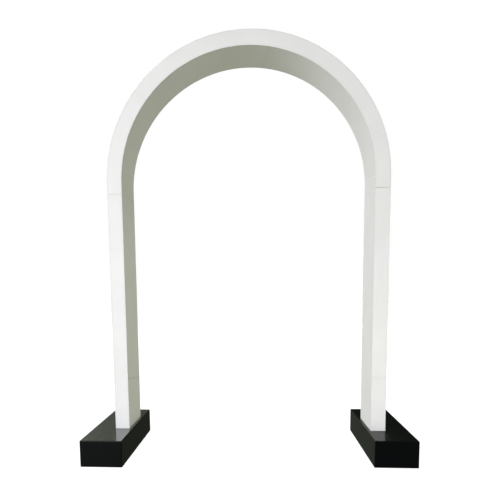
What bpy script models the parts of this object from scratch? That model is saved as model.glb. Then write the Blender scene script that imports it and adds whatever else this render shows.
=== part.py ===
"""Walk-through arch: taut white cloth panels over a plain frame, on two black plinths.

Metres, +Z up. The origin is on the floor in the middle of the arch, +X runs along the span
and the front faces -Y. Every panel and rail follows one centre line: up the left leg, round
the half circle and down the right leg.
"""
import math

import bmesh
import bpy

# The arch and its box section
ARCH_WIDTH = 2.0
ARCH_HEIGHT = 3.0
SECTION_WIDTH = 0.106
SECTION_DEPTH = 0.31
JOINT_HEIGHT = 1.92
ARC_STEPS = 32

# The plinths: each leg stands near the inner side of its plinth. They are set down a little
# unevenly, the left one further forward than the legs' middle and the right one further back
PLINTH_WIDTH = 0.30
PLINTH_DEPTH = 0.80
PLINTH_HEIGHT = 0.19
PLINTH_INNER_SHOW = 0.024
PLINTH_STAGGER = 0.03
PLINTH_EDGE = 0.003

# Cloth, clearances and seams
CLOTH = 0.002
GAP = 0.0003
JOINT_GAP = 0.0016
OPEN_CORNER = 0.0025
SEAM_GAP = 0.0006

# The frame: square rails along the four corners, tied by cross plates
RAIL = 0.020
PLATE = 0.006
PLATE_INSET = 0.001

# Points closer than this are one point
WELD = 0.00001

MID_RADIUS = (ARCH_WIDTH - SECTION_WIDTH) / 2
CENTRE_Z = ARCH_HEIGHT - ARCH_WIDTH / 2
QUARTER = MID_RADIUS * math.pi / 2
HALF_WIDTH = SECTION_WIDTH / 2
HALF_DEPTH = SECTION_DEPTH / 2
FRAME_WIDTH = HALF_WIDTH - CLOTH - GAP
FRAME_DEPTH = HALF_DEPTH - CLOTH - GAP

# Where the slanting seams cross the front and back edges of the soffit, as distances along
# the centre line from the crown
SEAMS = {
    "crown": {"front": 0.168, "back": 0.130},
    "right": {"front": QUARTER - 0.009, "back": QUARTER - 0.048},
}
SIDES = {"left": -1, "right": 1}


def clear_scene():
    for item in list(bpy.data.objects):
        bpy.data.objects.remove(item, do_unlink=True)


def new_collection(name, hidden=False):
    collection = bpy.data.collections.new(name)
    bpy.context.scene.collection.children.link(collection)
    collection.hide_render = hidden
    return collection


def new_material(name, color, roughness, metallic=0.0):
    material = bpy.data.materials.new(name)
    material.use_nodes = True
    shader = material.node_tree.nodes["Principled BSDF"]
    shader.inputs["Base Color"].default_value = (*color, 1.0)
    shader.inputs["Roughness"].default_value = roughness
    shader.inputs["Metallic"].default_value = metallic
    material.diffuse_color = (*color, 1.0)
    return material


def at_height(height):
    """Distance along the centre line from the crown to a height on a leg."""
    return QUARTER + CENTRE_Z - height


def place(station, offset):
    """The (x, z) point at a station along the centre line, offset outwards from it."""
    side = math.copysign(1.0, station)
    reach = abs(station)
    radius = MID_RADIUS + offset
    if reach <= QUARTER:
        angle = reach / MID_RADIUS
        return side * radius * math.sin(angle), CENTRE_Z + radius * math.cos(angle)
    return side * radius, CENTRE_Z - (reach - QUARTER)


def rim(offset, start, end):
    """Points of one long edge: its two ends, and each step of the arc between them."""
    step = QUARTER / ARC_STEPS
    turns = [k * step for k in range(-ARC_STEPS, ARC_STEPS + 1)]
    stations = [start] + [s for s in turns if start < s < end] + [end]
    return [place(s, offset) for s in stations]


def band(name, span, offsets, depths, open_corner=0.0):
    """A strip along the centre line as a mesh object, between two offsets and two depths.

    span is its two ends as stations, and open_corner shortens its inner edge at the second end.
    """
    points = rim(offsets[1], span[0], span[1])
    points += reversed(rim(offsets[0], span[0], span[1] - open_corner))
    curve = bpy.data.curves.new(name + "_outline", "CURVE")
    curve.dimensions = "2D"
    curve.fill_mode = "BOTH"
    curve.extrude = (depths[1] - depths[0]) / 2
    spline = curve.splines.new("POLY")
    spline.points.add(len(points) - 1)
    spline.use_cyclic_u = True
    for point, (x, z) in zip(spline.points, points):
        point.co = (x, z, 0.0, 1.0)
    outline = bpy.data.objects.new(name + "_outline", curve)
    outline.rotation_euler.x = math.pi / 2
    outline.location.y = (depths[0] + depths[1]) / 2
    bpy.context.scene.collection.objects.link(outline)
    bpy.context.view_layer.update()
    evaluated = outline.evaluated_get(bpy.context.evaluated_depsgraph_get())
    mesh = bpy.data.meshes.new_from_object(evaluated)
    mesh.transform(outline.matrix_world)
    mesh.name = name
    bpy.data.objects.remove(outline)
    weld(mesh)
    return bpy.data.objects.new(name, mesh)


def weld(mesh):
    """Joins the loose caps that a filled curve leaves to its sides."""
    shape = bmesh.new()
    shape.from_mesh(mesh)
    bmesh.ops.remove_doubles(shape, verts=shape.verts, dist=WELD)
    bmesh.ops.recalc_face_normals(shape, faces=shape.faces)
    shape.to_mesh(mesh)
    shape.free()


def seam_plane(seam):
    """A point on a slanting seam's plane and the plane's normal, which points away from the crown."""
    (fx, fz), (bx, bz) = (place(SEAMS[seam][edge], -HALF_WIDTH) for edge in ("front", "back"))
    along = (bx - fx, SECTION_DEPTH, bz - fz)
    middle = (SEAMS[seam]["front"] + SEAMS[seam]["back"]) / 2
    (ix, iz), (ox, oz) = place(middle, -HALF_WIDTH), place(middle, 0.0)
    out = (ox - ix, 0.0, oz - iz)
    normal = (
        along[1] * out[2] - along[2] * out[1],
        along[2] * out[0] - along[0] * out[2],
        along[0] * out[1] - along[1] * out[0],
    )
    length = math.sqrt(sum(part * part for part in normal))
    return (ix, 0.0, iz), tuple(part / length for part in normal)


def trim(item, seam, keep):
    """Cuts a panel at a slanting seam, keeping the part before it or after it."""
    point, normal = seam_plane(seam)
    sign = -1.0 if keep == "after" else 1.0
    cut = tuple(p - sign * SEAM_GAP / 2 * n for p, n in zip(point, normal))
    shape = bmesh.new()
    shape.from_mesh(item.data)
    result = bmesh.ops.bisect_plane(
        shape,
        geom=shape.verts[:] + shape.edges[:] + shape.faces[:],
        dist=WELD,
        plane_co=cut,
        plane_no=tuple(sign * n for n in normal),
        clear_outer=True,
    )
    edges = [part for part in result["geom_cut"] if isinstance(part, bmesh.types.BMEdge)]
    bmesh.ops.edgeloop_fill(shape, edges=edges)
    bmesh.ops.recalc_face_normals(shape, faces=shape.faces)
    shape.to_mesh(item.data)
    shape.free()


def finish(item, collection, material, parent):
    item.data.materials.clear()
    item.data.materials.append(material)
    item.parent = parent
    collection.objects.link(item)
    return item


def section_empty(name, collection):
    empty = bpy.data.objects.new(name, None)
    empty.empty_display_size = SECTION_WIDTH
    collection.objects.link(empty)
    return empty


def face_panel(name, span, front, open_corner=0.0):
    """A front or back panel, as wide as the section."""
    near = -HALF_DEPTH if front else HALF_DEPTH - CLOTH
    return band(name, span, (-HALF_WIDTH, HALF_WIDTH), (near, near + CLOTH), open_corner)


def edge_panel(name, span, inner):
    """A soffit or outer panel, which lies between the front and back panels."""
    low = -HALF_WIDTH if inner else HALF_WIDTH - CLOTH
    reach = HALF_DEPTH - CLOTH - GAP
    return band(name, span, (low, low + CLOTH), (-reach, reach))


def frame(name, span, plates, cutters):
    """Four corner rails tied by cross plates, one welded piece."""
    widths = ((-FRAME_WIDTH, RAIL - FRAME_WIDTH), (FRAME_WIDTH - RAIL, FRAME_WIDTH))
    depths = ((-FRAME_DEPTH, RAIL - FRAME_DEPTH), (FRAME_DEPTH - RAIL, FRAME_DEPTH))
    pieces = [
        band(f"{name}_rail_{i}{j}", span, width, depth)
        for i, width in enumerate(widths)
        for j, depth in enumerate(depths)
    ]
    width = FRAME_WIDTH - PLATE_INSET
    depth = FRAME_DEPTH - PLATE_INSET
    for k, start in enumerate(plates):
        pieces.append(band(f"{name}_plate_{k}", (start, start + PLATE), (-width, width), (-depth, depth)))
    body = pieces[0]
    body.name = name
    for piece in pieces[1:]:
        piece.hide_render = True
        piece.display_type = "WIRE"
        cutters.objects.link(piece)
        union = body.modifiers.new(piece.name, "BOOLEAN")
        union.operation = "UNION"
        union.solver = "EXACT"
        union.object = piece
    return body


def plinth(name, side):
    """A solid-sided box with slightly eased edges."""
    shape = bmesh.new()
    bmesh.ops.create_cube(shape, size=1.0)
    bmesh.ops.scale(shape, vec=(PLINTH_WIDTH, PLINTH_DEPTH, PLINTH_HEIGHT), verts=shape.verts)
    mesh = bpy.data.meshes.new(name)
    shape.to_mesh(mesh)
    shape.free()
    item = bpy.data.objects.new(name, mesh)
    inner_face = ARCH_WIDTH / 2 - SECTION_WIDTH - PLINTH_INNER_SHOW
    item.location = (side * (inner_face + PLINTH_WIDTH / 2), side * PLINTH_STAGGER, PLINTH_HEIGHT / 2)
    bevel = item.modifiers.new("eased_edges", "BEVEL")
    bevel.width = PLINTH_EDGE
    bevel.segments = 2
    return item


def arch_section(parts, cutters, materials, parent):
    joint = at_height(JOINT_HEIGHT)
    end = joint - JOINT_GAP / 2
    cloth = [
        face_panel("arch_front_panel", (-end, end), True, OPEN_CORNER),
        face_panel("arch_back_panel", (-end, end), False),
        edge_panel("arch_outer_panel", (-end, end), False),
    ]
    left = edge_panel("soffit_panel_left", (-end, end), True)
    trim(left, "crown", "before")
    right = edge_panel("soffit_panel_right", (-end, end), True)
    trim(right, "crown", "after")
    trim(right, "right", "before")
    for panel in cloth + [left, right]:
        finish(panel, parts, materials["cloth"], parent)
    frame_end = joint - GAP / 2
    ties = [-QUARTER / 2, 0.0, QUARTER / 2]
    plates = [tie - PLATE / 2 for tie in ties]
    plates = [-frame_end + PLATE_INSET] + plates + [frame_end - PLATE_INSET - PLATE]
    body = frame("arch_frame", (-frame_end, frame_end), plates, cutters)
    finish(body, parts, materials["frame"], parent)


def leg_section(label, parts, cutters, materials, parent):
    side = SIDES[label]
    foot = at_height(PLINTH_HEIGHT + GAP)
    joint = at_height(JOINT_HEIGHT)

    def span(near, far):
        return tuple(sorted((side * near, side * far)))

    long = span(joint + JOINT_GAP / 2, foot)
    cloth = [
        face_panel(f"leg_front_panel_{label}", long, True),
        face_panel(f"leg_back_panel_{label}", long, False),
        edge_panel(f"leg_outer_panel_{label}", long, False),
    ]
    if label == "right":
        inner = edge_panel(f"leg_inner_panel_{label}", span(QUARTER - SECTION_DEPTH, foot), True)
        trim(inner, "right", "after")
    else:
        inner = edge_panel(f"leg_inner_panel_{label}", long, True)
    for panel in cloth + [inner]:
        finish(panel, parts, materials["cloth"], parent)
    top = joint + GAP / 2
    ties = [top + PLATE_INSET, (top + foot - PLATE) / 2, foot - PLATE_INSET - PLATE]
    plates = [min(side * tie, side * (tie + PLATE)) for tie in ties]
    body = frame(f"leg_frame_{label}", span(top, foot), plates, cutters)
    finish(body, parts, materials["frame"], parent)


def main():
    clear_scene()
    parts = new_collection("led_arch")
    cutters = new_collection("frame_pieces", hidden=True)
    materials = {
        "cloth": new_material("white_cloth", (0.84, 0.85, 0.84), 0.75),
        "frame": new_material("frame_metal", (0.62, 0.63, 0.64), 0.4, 1.0),
        "plinth": new_material("black_gloss", (0.012, 0.014, 0.014), 0.12),
    }
    arch_section(parts, cutters, materials, section_empty("arch_section", parts))
    for label, side in SIDES.items():
        stand = section_empty(f"{label}_stand", parts)
        leg_section(label, parts, cutters, materials, stand)
        finish(plinth(f"plinth_{label}", side), parts, materials["plinth"], stand)


main()
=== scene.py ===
import math

import bmesh
import bpy
from mathutils import Matrix, Vector, noise


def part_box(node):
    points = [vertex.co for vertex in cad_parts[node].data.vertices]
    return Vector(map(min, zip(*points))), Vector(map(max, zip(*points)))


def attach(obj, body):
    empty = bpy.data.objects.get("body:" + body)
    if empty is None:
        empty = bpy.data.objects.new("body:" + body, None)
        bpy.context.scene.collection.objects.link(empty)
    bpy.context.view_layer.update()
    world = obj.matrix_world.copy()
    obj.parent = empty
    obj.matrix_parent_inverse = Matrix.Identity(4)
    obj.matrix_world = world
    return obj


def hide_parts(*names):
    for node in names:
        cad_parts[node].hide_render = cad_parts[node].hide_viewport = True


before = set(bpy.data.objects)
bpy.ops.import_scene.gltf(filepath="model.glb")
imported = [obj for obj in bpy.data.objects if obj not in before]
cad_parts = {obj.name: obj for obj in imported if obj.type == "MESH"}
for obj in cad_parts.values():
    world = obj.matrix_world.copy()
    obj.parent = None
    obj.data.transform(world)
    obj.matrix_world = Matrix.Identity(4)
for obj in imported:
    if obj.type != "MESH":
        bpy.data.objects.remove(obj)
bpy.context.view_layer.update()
print("frame loaded,", len(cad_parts), "nodes")

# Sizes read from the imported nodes, in metres
ringLow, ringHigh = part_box("arch_front_panel")
legLow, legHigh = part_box("leg_front_panel_left")
archRadius = ringHigh.x
sectionWidth = legHigh.x - legLow.x
halfWidth = sectionWidth / 2
halfDepth = -ringLow.y
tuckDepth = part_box("arch_outer_panel")[1].y  # inner and outer panels lie between front and back
clothThickness = ringHigh.y - ringLow.y
midRadius = archRadius - halfWidth
centreZ = ringHigh.z - archRadius
quarter = midRadius * math.pi / 2


# Stations run along the arch's centre line from the crown, to the left below zero
def place(station, offset):
    side = math.copysign(1.0, station)
    reach = abs(station)
    radius = midRadius + offset
    if reach <= quarter:
        angle = reach / midRadius
        return side * radius * math.sin(angle), centreZ + radius * math.cos(angle)
    return side * radius, centreZ - (reach - quarter)


def stationAtHeight(height):
    if height <= centreZ:
        return quarter + centreZ - height
    return midRadius * math.acos((height - centreZ) / (midRadius - halfWidth))


def stationAtX(x):
    return midRadius * math.asin(x / (midRadius - halfWidth))


def gauss(distance, width):
    return math.exp(-(distance / width) ** 2)


def smooth(value):
    value = min(max(value, 0.0), 1.0)
    return value * value * (3 - 2 * value)


def between(pair, share):
    return pair[0] + (pair[1] - pair[0]) * share


# Camera: the photograph's viewpoint, fitted to the arch's outlines
camera = {
    "place": (0.0802, -3.3035, 1.2387),
    "pitch": -0.0941,
    "yaw": 0.0629,
    "roll": 0.0105,
    "imagePixels": 500.0,
    "focalPixels": 435.0,
    "axisPixels": (231.04, 329.12),
    "sensor": 36.0,
}


def makeCamera():
    data = bpy.data.cameras.new("photoView")
    item = bpy.data.objects.new("photoView", data)
    bpy.context.scene.collection.objects.link(item)
    data.sensor_width = camera["sensor"]
    data.lens = camera["focalPixels"] / camera["imagePixels"] * camera["sensor"]
    middle = camera["imagePixels"] / 2
    data.shift_x = (middle - camera["axisPixels"][0]) / camera["imagePixels"]
    data.shift_y = (camera["axisPixels"][1] - middle) / camera["imagePixels"]
    turn = Matrix.Rotation(camera["yaw"], 4, "Z") @ Matrix.Rotation(camera["pitch"], 4, "X")
    turn = turn @ Matrix.Rotation(camera["roll"], 4, "Y")
    upright = Matrix.Rotation(math.pi / 2, 4, "X")
    item.matrix_world = Matrix.Translation(camera["place"]) @ turn @ upright
    bpy.context.scene.camera = item


makeCamera()
print("camera placed")


# Node helpers for the materials
def newMaterial(name):
    material = bpy.data.materials.new(name)
    material.use_nodes = True
    tree = material.node_tree
    return material, tree, tree.nodes["Principled BSDF"]


def setValues(shader, values):
    for key, value in values.items():
        shader.inputs[key].default_value = value


def addNode(tree, kind, values=None, **settings):
    node = tree.nodes.new(kind)
    for key, value in settings.items():
        setattr(node, key, value)
    setValues(node, values or {})
    return node


def feed(tree, socket, value):
    if isinstance(value, bpy.types.NodeSocket):
        tree.links.new(value, socket)
    else:
        socket.default_value = value


def feedAll(tree, sockets, values):
    for socket, value in zip(sockets, values):
        feed(tree, socket, value)


def splitVector(tree, vector):
    node = addNode(tree, "ShaderNodeSeparateXYZ")
    tree.links.new(vector, node.inputs[0])
    return node.outputs


wholeRange = (0.0, 1.0)


def mapRange(tree, source, fromRange, toRange):
    node = addNode(tree, "ShaderNodeMapRange")
    feedAll(tree, node.inputs, (source, *fromRange, *toRange))
    return node.outputs["Result"]


def calculate(tree, operation, first, second):
    node = addNode(tree, "ShaderNodeMath", operation=operation)
    feedAll(tree, node.inputs, (first, second))
    return node.outputs[0]


# A Mix node's sockets are two factors, then two each for numbers, vectors and colours
def mixNumber(tree, factor, first, second):
    node = addNode(tree, "ShaderNodeMix", data_type="FLOAT")
    feedAll(tree, node.inputs[:1] + node.inputs[2:4], (factor, first, second))
    return node.outputs[0]


def mixColour(tree, factor, first, second):
    node = addNode(tree, "ShaderNodeMix", data_type="RGBA")
    feedAll(tree, node.inputs[:1] + node.inputs[6:8], (factor, first, second))
    return node.outputs[2]


def noiseField(tree, vector, scale, detail, stretch=None):
    if stretch:
        mapping = addNode(tree, "ShaderNodeMapping", {"Scale": stretch})
        tree.links.new(vector, mapping.inputs["Vector"])
        vector = mapping.outputs["Vector"]
    node = addNode(tree, "ShaderNodeTexNoise", {"Scale": scale, "Detail": detail})
    tree.links.new(vector, node.inputs["Vector"])
    return node.outputs["Fac"]


def addBump(tree, height, distance, strength, below=None):
    node = addNode(tree, "ShaderNodeBump", {"Strength": strength, "Distance": distance})
    tree.links.new(height, node.inputs["Height"])
    if below:
        tree.links.new(below, node.inputs["Normal"])
    return node.outputs["Normal"]


# The cloth's finish: a fine plain weave, white, faintly cloudy, with painted shade along seams,
# joints and creases and over the soffit
fabricFinish = {
    "clean": (0.862, 0.866, 0.858, 1.0),
    "cloudy": (0.835, 0.838, 0.828, 1.0),
    # The colour that the tone mixes in: painted shade, and the less white single layer below the
    # right inner panel's doubled edge
    "shadeAndDull": (0.56, 0.56, 0.53, 1.0),
    "threadPitch": 0.0009,
    "threadHeight": 0.00006,
    "threadStrength": 0.5,
    "threadWander": 0.6,
    "slubs": {"scale": 90.0, "detail": 2.0, "stretch": (1.0, 14.0, 1.0)},
    "slubHeight": 0.00012,
    "slubStrength": 0.35,
    "clouds": {"scale": 4.0, "detail": 4.0},
    "cloudRange": (0.38, 0.66),
    "roughness": (0.84, 0.70),  # between the threads and on them
    "sheen": 0.05,
    "specular": 0.25,
}
waveTurn = 20.0  # a wave texture's bands repeat this many radians apart at scale 1


def clothMaterial():
    finish = fabricFinish
    material, tree, shader = newMaterial("whiteCloth")
    cut = addNode(tree, "ShaderNodeAttribute", attribute_name="cut").outputs["Vector"]
    tone = addNode(tree, "ShaderNodeAttribute", attribute_name="tone").outputs["Fac"]
    bands = {"Scale": 2 * math.pi / waveTurn / finish["threadPitch"],
             "Distortion": finish["threadWander"]}
    threads = []
    for direction in ("X", "Y"):
        wave = addNode(tree, "ShaderNodeTexWave", bands, bands_direction=direction)
        tree.links.new(cut, wave.inputs["Vector"])
        threads.append(wave.outputs["Fac"])
    weave = calculate(tree, "MAXIMUM", *threads)
    slubs = noiseField(tree, cut, **finish["slubs"])
    coarse = addBump(tree, slubs, finish["slubHeight"], finish["slubStrength"])
    fine = addBump(tree, weave, finish["threadHeight"], finish["threadStrength"], coarse)
    tree.links.new(fine, shader.inputs["Normal"])
    clouds = noiseField(tree, cut, **finish["clouds"])
    cloudy = mapRange(tree, clouds, finish["cloudRange"], wholeRange)
    base = mixColour(tree, cloudy, finish["clean"], finish["cloudy"])
    # The tone mixes in painted shade along rims, joints and creases and over the soffit, and the
    # less white cloth beside the doubled edge
    base = mixColour(tree, tone, base, finish["shadeAndDull"])
    tree.links.new(base, shader.inputs["Base Color"])
    rough = mapRange(tree, weave, wholeRange, finish["roughness"])
    tree.links.new(rough, shader.inputs["Roughness"])
    setValues(shader, {"Sheen Weight": finish["sheen"], "Specular IOR Level": finish["specular"]})
    return material


# The plinths' finish: black laminate under a polished coat, the left one's the glossier, not
# quite flat, with fine rubbing and a little dust
plinthFinish = {
    "black": (0.0018, 0.0024, 0.0026, 1.0),
    "satin": 0.50,
    "satinShare": 0.2,
    "coatIor": {"left": 2.08, "right": 1.16},
    "coatRoughness": (0.07, 0.13),
    "rubbing": {"scale": 60.0, "detail": 6.0, "stretch": (1.0, 0.12, 1.0)},
    "rubbingRange": (0.35, 0.7),
    "dust": (0.30, 0.31, 0.29, 1.0),
    "dustShare": 0.012,
    "dustPatches": {"scale": 14.0, "detail": 5.0},
    "patchRange": (0.35, 0.75),
    "patchShare": (0.2, 1.0),
    "facingUp": (0.3, 1.0),
    "facingShare": (0.15, 1.0),
    "waves": {"scale": 5.0, "detail": 1.0},
    "waveHeight": 0.0003,
    "waveStrength": 0.5,
    "peel": {"scale": 260.0, "detail": 2.0},
    "peelHeight": 0.000015,
    "peelStrength": 0.12,
}


def plinthMaterial(side):
    finish = plinthFinish
    material, tree, shader = newMaterial(f"blackGloss{side.title()}")
    where = addNode(tree, "ShaderNodeTexCoord").outputs["Object"]
    setValues(shader, {
        "Coat Weight": 1.0,
        "Coat IOR": finish["coatIor"][side],
        "Roughness": finish["satin"],
        "Specular IOR Level": finish["satinShare"],
    })
    rubbing = noiseField(tree, where, **finish["rubbing"])
    rubbed = mapRange(tree, rubbing, finish["rubbingRange"], finish["coatRoughness"])
    tree.links.new(rubbed, shader.inputs["Coat Roughness"])
    # Dust lies on what faces up, in soft patches
    normal = addNode(tree, "ShaderNodeNewGeometry").outputs["Normal"]
    facing = mapRange(tree, splitVector(tree, normal)["Z"], finish["facingUp"],
                      finish["facingShare"])
    patches = mapRange(tree, noiseField(tree, where, **finish["dustPatches"]),
                       finish["patchRange"], finish["patchShare"])
    share = calculate(tree, "MULTIPLY", facing, patches)
    share = calculate(tree, "MULTIPLY", share, finish["dustShare"])
    dusty = mixColour(tree, share, finish["black"], finish["dust"])
    tree.links.new(dusty, shader.inputs["Base Color"])
    waves = noiseField(tree, where, **finish["waves"])
    peel = noiseField(tree, where, **finish["peel"])
    wavy = addBump(tree, waves, finish["waveHeight"], finish["waveStrength"])
    bumped = addBump(tree, peel, finish["peelHeight"], finish["peelStrength"], wavy)
    tree.links.new(bumped, shader.inputs["Normal"])
    tree.links.new(bumped, shader.inputs["Coat Normal"])
    return material


# The hidden frame: mill-finish aluminium, drawn along its length
frameFinish = {
    "clean": (0.60, 0.61, 0.62, 1.0),
    "worn": (0.42, 0.43, 0.44, 1.0),
    "patches": {"scale": 8.0, "detail": 4.0},
    "patchRange": (0.4, 0.7),
    "roughness": (0.32, 0.52),
    "drawn": {"scale": 120.0, "detail": 3.0, "stretch": (1.0, 1.0, 0.04)},
    "drawnRange": (0.3, 0.7),
    "drawnHeight": 0.00002,
    "drawnStrength": 0.3,
}


def frameMaterial():
    finish = frameFinish
    material, tree, shader = newMaterial("millAluminium")
    where = addNode(tree, "ShaderNodeTexCoord").outputs["Object"]
    drawn = noiseField(tree, where, **finish["drawn"])
    rough = mapRange(tree, drawn, finish["drawnRange"], finish["roughness"])
    tree.links.new(rough, shader.inputs["Roughness"])
    patches = mapRange(tree, noiseField(tree, where, **finish["patches"]),
                       finish["patchRange"], wholeRange)
    base = mixColour(tree, patches, finish["clean"], finish["worn"])
    tree.links.new(base, shader.inputs["Base Color"])
    grain = addBump(tree, drawn, finish["drawnHeight"], finish["drawnStrength"])
    tree.links.new(grain, shader.inputs["Normal"])
    setValues(shader, {"Metallic": 1.0})
    return material


white = clothMaterial()
aluminium = frameMaterial()
print("materials made")


# Turns a finished shape into a smooth-shaded object of one material
def makeItem(name, shape, material):
    mesh = bpy.data.meshes.new(name)
    shape.to_mesh(mesh)
    shape.free()
    mesh.shade_smooth()
    mesh.materials.append(material)
    item = bpy.data.objects.new(name, mesh)
    bpy.context.scene.collection.objects.link(item)
    return item


easeAngle = math.radians(50)  # edges that turn further than this are eased


def easeEdges(item, width, steps):
    ease = item.modifiers.new("easedEdges", "BEVEL")
    ease.width = width
    ease.segments = steps
    ease.limit_method = "ANGLE"
    ease.angle_limit = easeAngle
    ease.harden_normals = True


# The cloth panels. Sizes are metres; waviness, pull and pucker are how far the face stands proud
# of the flat cut, or sinks below it
cloth = {
    "step": 0.012,
    "fineStep": 0.005,
    "rimStep": 0.002,
    "hem": 0.0007,
    "hemSteps": 3,
    "sewnEdge": 0.035,
    "waviness": 0.0005,
    "waves": (2.2, 9.0),  # to a metre, along the panel and across it
    "pull": 0.0008,
    "pucker": 0.00022,
    "puckerPitch": 0.021,
    "puckerReach": 0.016,
    "rimsApart": 3.0,  # so that a panel's two rims pucker differently
    "seedStep": 1.7,  # so that no two panels wave alike
    # Painted shade: the cloth is darkened along its sewn rims, at the panel ends by the joints, and
    # over the soffit and the top of the left leg's inner side
    "rimShade": 0.30,
    "rimWidth": 0.0035,
    "endShade": 0.08,
    "soffitShade": 0.20,
    "soffitFade": 0.35,
}

# Soft creases across a leg, where something stiff ends behind the cloth: a shallow trough with
# a dark line of painted shade along its lower side. The heights are those at the panel's two long
# edges, the front or inner one first
creases = {
    "leg_inner_panel_left": {
        "heights": (0.573, 0.513), "trough": 0.0014, "width": 0.012, "dark": 0.42,
    },
    "leg_front_panel_right": {
        "heights": (0.580, 0.584), "trough": 0.0009, "width": 0.030, "dark": 0.10,
    },
}
creaseRise = 0.6  # the trough's middle above the dark line, in widths
creaseLine = 0.5  # the dark line's width, in the trough's

# The sewn edge of the right leg's inner panel is doubled, so it stands proud and looks whiter
doubled = {"node": "leg_inner_panel_right", "width": 0.011, "lift": 0.0007, "shadeAndDull": 0.12}

# Cloth gives a little, so the joints show narrower than they are packed, one corner standing open
jointEase = 0.0004
openCorner = 0.0012
archEnd = stationAtHeight(ringLow.z) + jointEase
legTop = stationAtHeight(legHigh.z) - jointEase
foot = stationAtHeight(legLow.z)
soffitSeam = (stationAtX(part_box("soffit_panel_left")[1].x),
              stationAtX(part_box("soffit_panel_right")[0].x))
rightSeam = (stationAtHeight(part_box("soffit_panel_right")[0].z),
             stationAtHeight(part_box("leg_inner_panel_right")[1].z))
panels = []


# A panel's ends are the stations of its first and last column there
def addPanel(name, node, face, start, end):
    panels.append({
        "name": name,
        "node": node,
        "face": face,
        "start": start,
        "end": end,
        "reach": halfWidth if face in ("front", "back") else tuckDepth,
        "seed": len(panels) * cloth["seedStep"],
    })


def even(value):
    return (value, value)


addPanel("clothArchFront", "arch_front_panel", "front",
         even(-archEnd), (archEnd - openCorner, archEnd))
addPanel("clothArchBack", "arch_back_panel", "back", even(-archEnd), even(archEnd))
addPanel("clothArchOuter", "arch_outer_panel", "outer", even(-archEnd), even(archEnd))
addPanel("clothSoffitLeft", "soffit_panel_left", "inner", even(-archEnd), soffitSeam)
addPanel("clothSoffitRight", "soffit_panel_right", "inner", soffitSeam, rightSeam)
for label, side in (("Left", -1), ("Right", 1)):
    for face in ("front", "back", "outer", "inner"):
        top = rightSeam if (face, label) == ("inner", "Right") else even(legTop)
        ends = (top, even(foot)) if side > 0 else (even(-foot), even(-legTop))
        addPanel(f"clothLeg{face.title()}{label}", f"leg_{face}_panel_{label.lower()}", face, *ends)


def rowShares(length, step):
    rim = cloth["rimStep"] / length
    count = max(int(length / step), 2)
    return [0.0, rim] + [k / count for k in range(1, count)] + [1 - rim, 1.0]


# More rows stand where the doubled edge steps down
def panelRows(node, length, step):
    rows = rowShares(length, step)
    if node == doubled["node"]:
        rows += [(doubled["width"] + k * cloth["rimStep"]) / length for k in (-1, 0, 1, 2)]
        rows.sort()
    return rows


def facePoint(face, station, across, lift):
    if face in ("front", "back"):
        x, z = place(station, across)
        return Vector((x, (halfDepth + lift) * (1 if face == "back" else -1), z))
    x, z = place(station, (halfWidth + lift) * (1 if face == "outer" else -1))
    return Vector((x, across, z))


# The crease's part of the lift and of the painted shade at a point
def creaseAt(crease, station, share, rim):
    height = centreZ - (abs(station) - quarter)
    above = height - between(crease["heights"], share)
    width = crease["width"]
    lift = -crease["trough"] * gauss(above - width * creaseRise, width) * smooth(rim / width)
    return lift, crease["dark"] * gauss(above, width * creaseLine)


# Lift and tone at a point: slow waves, puckers along the sewn rims, and the pull of the
# curve, which draws the outer panel in and bows the soffit out. The tone is painted shade along
# the rims, at the joints, in the creases and over the soffit, and the less white single layer
# below the right inner panel's doubled edge
def relief(panel, station, across, startGap, endGap):
    node, face, reach, seed = (panel[key] for key in ("node", "face", "reach", "seed"))
    rim = reach - abs(across)
    gap = min(startGap, endGap)
    free = smooth(min(rim, gap) / cloth["sewnEdge"])
    wave = noise.noise(Vector((station * cloth["waves"][0], across * cloth["waves"][1], seed)))
    lift = cloth["waviness"] * wave * free
    rimSide = math.copysign(cloth["rimsApart"], across)
    pucker = noise.noise(Vector((station / cloth["puckerPitch"], rimSide, seed)))
    pucker *= gauss(rim, cloth["puckerReach"]) * smooth(rim / cloth["rimStep"])
    lift += cloth["pucker"] * pucker
    if abs(station) < quarter and face in ("outer", "inner"):
        bow = 1 - (across / reach) ** 2
        ease = smooth((quarter - abs(station)) / halfDepth)
        lift += cloth["pull"] * bow * ease * free * (1 if face == "inner" else -1)
    # Painted shade along every sewn rim, and fainter at the panel ends by the joints
    shadeAndDull = cloth["rimShade"] * gauss(rim, cloth["rimWidth"])
    shadeAndDull += cloth["endShade"] * gauss(gap, cloth["rimWidth"])
    # The soffit's painted shade runs on down the left leg and fades there
    if node.startswith("soffit") or node == "leg_inner_panel_left":
        shadeAndDull += cloth["soffitShade"] * smooth(1 - (abs(station) - archEnd) / cloth["soffitFade"])
    if node in creases:
        share = (across + reach) / (2 * reach)
        creaseLift, creaseShade = creaseAt(creases[node], station, share, rim)
        lift += creaseLift
        shadeAndDull += creaseShade
    if node == doubled["node"]:
        share = smooth((doubled["width"] - startGap) / cloth["rimStep"] + 1)
        lift += doubled["lift"] * share
        shadeAndDull += doubled["shadeAndDull"] * (1 - share)
    return lift, shadeAndDull


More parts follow.
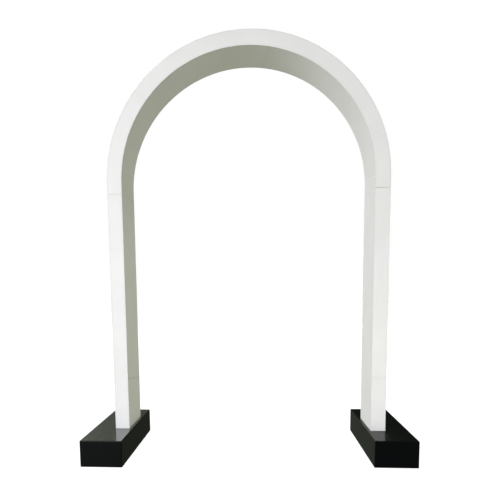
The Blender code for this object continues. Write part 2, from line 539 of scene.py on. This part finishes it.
def makePanel(panel):
    face, reach = panel["face"], panel["reach"]
    step = cloth["fineStep"] if panel["node"] in creases else cloth["step"]
    length = abs(sum(panel["end"]) - sum(panel["start"])) / 2
    columns = rowShares(2 * reach, step)
    shape = bmesh.new()
    cutLayer = shape.verts.layers.float_vector.new("cut")
    toneLayer = shape.verts.layers.float.new("tone")
    grid = []
    for row in panelRows(panel["node"], length, step):
        line = []
        for column in columns:
            across = (2 * column - 1) * reach
            ends = between(panel["start"], column), between(panel["end"], column)
            station = between(ends, row)
            lift, shadeAndDull = relief(panel, station, across, station - ends[0], ends[1] - station)
            vert = shape.verts.new(facePoint(face, station, across, lift))
            vert[cutLayer] = (across + panel["seed"], station, 0.0)
            vert[toneLayer] = shadeAndDull
            line.append(vert)
        grid.append(line)
    # Every face points out of the box section, which turns two of the four windings
    turned = face in ("back", "inner")
    for low, high in zip(grid, grid[1:]):
        for a, b, c, d in zip(low, low[1:], high[1:], high):
            shape.faces.new((a, b, c, d) if turned else (a, d, c, b))
    item = makeItem(panel["name"], shape, white)
    sheet = item.modifiers.new("sheet", "SOLIDIFY")
    sheet.thickness = clothThickness
    sheet.offset = -1.0
    easeEdges(item, cloth["hem"], cloth["hemSteps"])
    return item, length


for panel in panels:
    item, length = makePanel(panel)
    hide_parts(panel["node"])
    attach(item, "root")


# The plinths: each one a plain box with eased edges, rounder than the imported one
plinth = {"edge": 0.006, "edgeSteps": 6}


def makePlinth(side):
    low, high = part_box(f"plinth_{side}")
    shape = bmesh.new()
    bmesh.ops.create_cube(shape, size=1.0)
    bmesh.ops.scale(shape, vec=high - low, verts=shape.verts)
    bmesh.ops.translate(shape, vec=(low + high) / 2, verts=shape.verts)
    item = makeItem(f"plinthBlack{side.title()}", shape, plinthMaterial(side))
    easeEdges(item, plinth["edge"], plinth["edgeSteps"])
    return item


for side in ("left", "right"):
    stand = makePlinth(side)
    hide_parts(f"plinth_{side}")
    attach(stand, "root")
print("plinths made")

for node in ("arch_frame", "leg_frame_left", "leg_frame_right"):
    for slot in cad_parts[node].material_slots:
        slot.material = aluminium
print("frames finished")


# The studio: a pale floor that fades into a white surround
studio = {
    "floorSize": 80.0,
    "floorDrop": 0.0005,
    "floorGlow": 0.90,
    "floorGrey": (0.40, 0.40, 0.42, 1.0),
    "surround": (1.0, 1.0, 1.0, 1.0),
    "fill": (0.325, 0.335, 0.255, 1.0),
}

# What the gloss mirrors, from the left side to the right one: overhead, low in front and low
# behind, with the spans over which each passes into the next
mirrored = {
    "above": (0.128, 0.02),
    "front": (0.013, 0.0),
    "behind": (0.102, 0.038),
    "leftToRight": (-0.30, 0.20),
    "frontToBehind": (-0.1, 0.1),
    "lowToAbove": (-0.05, 0.10),
    "tint": (0.94, 1.08, 0.82),
}


def makeFloor():
    bpy.ops.mesh.primitive_plane_add(size=studio["floorSize"],
                                     location=(0.0, 0.0, -studio["floorDrop"]))
    floor = bpy.context.object
    floor.name = "floor"
    material, tree, shader = newMaterial("paleFloor")
    setValues(shader, {
        "Base Color": studio["floorGrey"],
        "Roughness": 1.0,
        "Specular IOR Level": 0.0,
        "Emission Color": studio["surround"],
        "Emission Strength": studio["floorGlow"],
    })
    floor.data.materials.append(material)
    # It shows white without throwing its own light up into the shaded soffit
    floor.visible_diffuse = False
    floor.visible_glossy = False
    floor.visible_shadow = False


def makeSurround():
    world = bpy.data.worlds.new("surround")
    bpy.context.scene.world = world
    world.use_nodes = True
    # Found by the surfaces' own rays alone, so that gloss and matt see their own surround
    world.cycles.sampling_method = "NONE"
    tree = world.node_tree
    rays = addNode(tree, "ShaderNodeLightPath").outputs
    toward = splitVector(tree, addNode(tree, "ShaderNodeTexCoord").outputs["Generated"])
    above, front, behind = (mapRange(tree, toward["X"], mirrored["leftToRight"], mirrored[part])
                            for part in ("above", "front", "behind"))
    rear = mapRange(tree, toward["Y"], mirrored["frontToBehind"], wholeRange)
    high = mapRange(tree, toward["Z"], mirrored["lowToAbove"], wholeRange)
    glow = mixNumber(tree, high, mixNumber(tree, rear, front, behind), above)
    tinted = addNode(tree, "ShaderNodeVectorMath", operation="SCALE")
    tinted.inputs[0].default_value = mirrored["tint"]
    tree.links.new(glow, tinted.inputs["Scale"])
    light = mixColour(tree, rays["Is Glossy Ray"], studio["fill"], tinted.outputs["Vector"])
    light = mixColour(tree, rays["Is Camera Ray"], light, studio["surround"])
    tree.links.new(light, tree.nodes["Background"].inputs["Color"])


# Each softbox: where it stands round the arch and points, its size, its brightness on what faces
# it, its spread in degrees, and whether the matt surfaces and the gloss take its light
softbox = {"spread": 180.0, "colour": (1.0, 0.99, 1.08), "matt": True, "gloss": False}
softboxes = {
    "keyBox": {"azimuth": -42.0, "distance": 14.0, "height": 4.2, "aim": 0.9, "size": 4.0,
               "level": 0.84, "spread": 65.0, "colour": (1.0, 0.985, 1.11), "gloss": True},
    "frontBox": {"azimuth": 6.0, "distance": 6.0, "height": 0.4, "aim": 0.7, "size": 2.5,
                 "level": 0.15, "spread": 150.0},
    "leftBox": {"azimuth": -72.0, "distance": 9.0, "height": 2.4, "aim": 0.9, "size": 2.0,
                "level": 0.13, "spread": 40.0},
    "rightBox": {"azimuth": 60.0, "distance": 3.5, "height": 0.25, "aim": 0.8, "size": 1.0,
                 "level": 0.17, "spread": 48.0, "colour": (1.0, 0.98, 0.85)},
    "glossBox": {"azimuth": -132.0, "distance": 9.0, "height": 3.6, "aim": 0.2, "size": 3.5,
                 "level": 0.45, "colour": (0.97, 1.0, 0.88), "matt": False, "gloss": True},
    "backBox": {"azimuth": 180.0, "distance": 12.0, "height": 3.0, "aim": 1.5, "size": 4.0,
                "level": 0.48, "colour": (1.0, 1.0, 1.0)},
    # These two are small, so the arch itself shades its inside and its front from them
    "sideBox": {"azimuth": 90.0, "distance": 9.0, "height": 2.2, "aim": 1.6, "size": 0.3,
                "level": 0.32},
    "topBox": {"azimuth": 0.0, "distance": 0.0, "height": 9.0, "aim": 3.0, "size": 0.3,
               "level": 0.24},
}


def makeSoftbox(name, box):
    data = bpy.data.lights.new(name, "AREA")
    data.shape = "SQUARE"
    data.size = box["size"]
    data.color = box["colour"]
    data.spread = math.radians(box["spread"])
    item = bpy.data.objects.new(name, data)
    bpy.context.scene.collection.objects.link(item)
    turn = math.radians(box["azimuth"])
    item.location = (box["distance"] * math.sin(turn), -box["distance"] * math.cos(turn),
                     box["height"])
    toArch = Vector((0.0, 0.0, box["aim"])) - item.location
    item.rotation_euler = toArch.to_track_quat("-Z", "Y").to_euler()
    # Watts for a white face at the arch to show at that level; a grid narrows the beam and
    # makes it brighter
    half = math.radians(box["spread"]) / 2
    beam = 1 - half / math.tan(half)
    data.energy = box["level"] * beam * math.pi ** 2 * toArch.length_squared
    item.visible_camera = False
    item.visible_diffuse = box["matt"]
    item.visible_glossy = box["gloss"]


makeFloor()
makeSurround()
for name, values in softboxes.items():
    makeSoftbox(name, {**softbox, **values})
bpy.context.scene.view_settings.view_transform = "Standard"
print("studio lit")
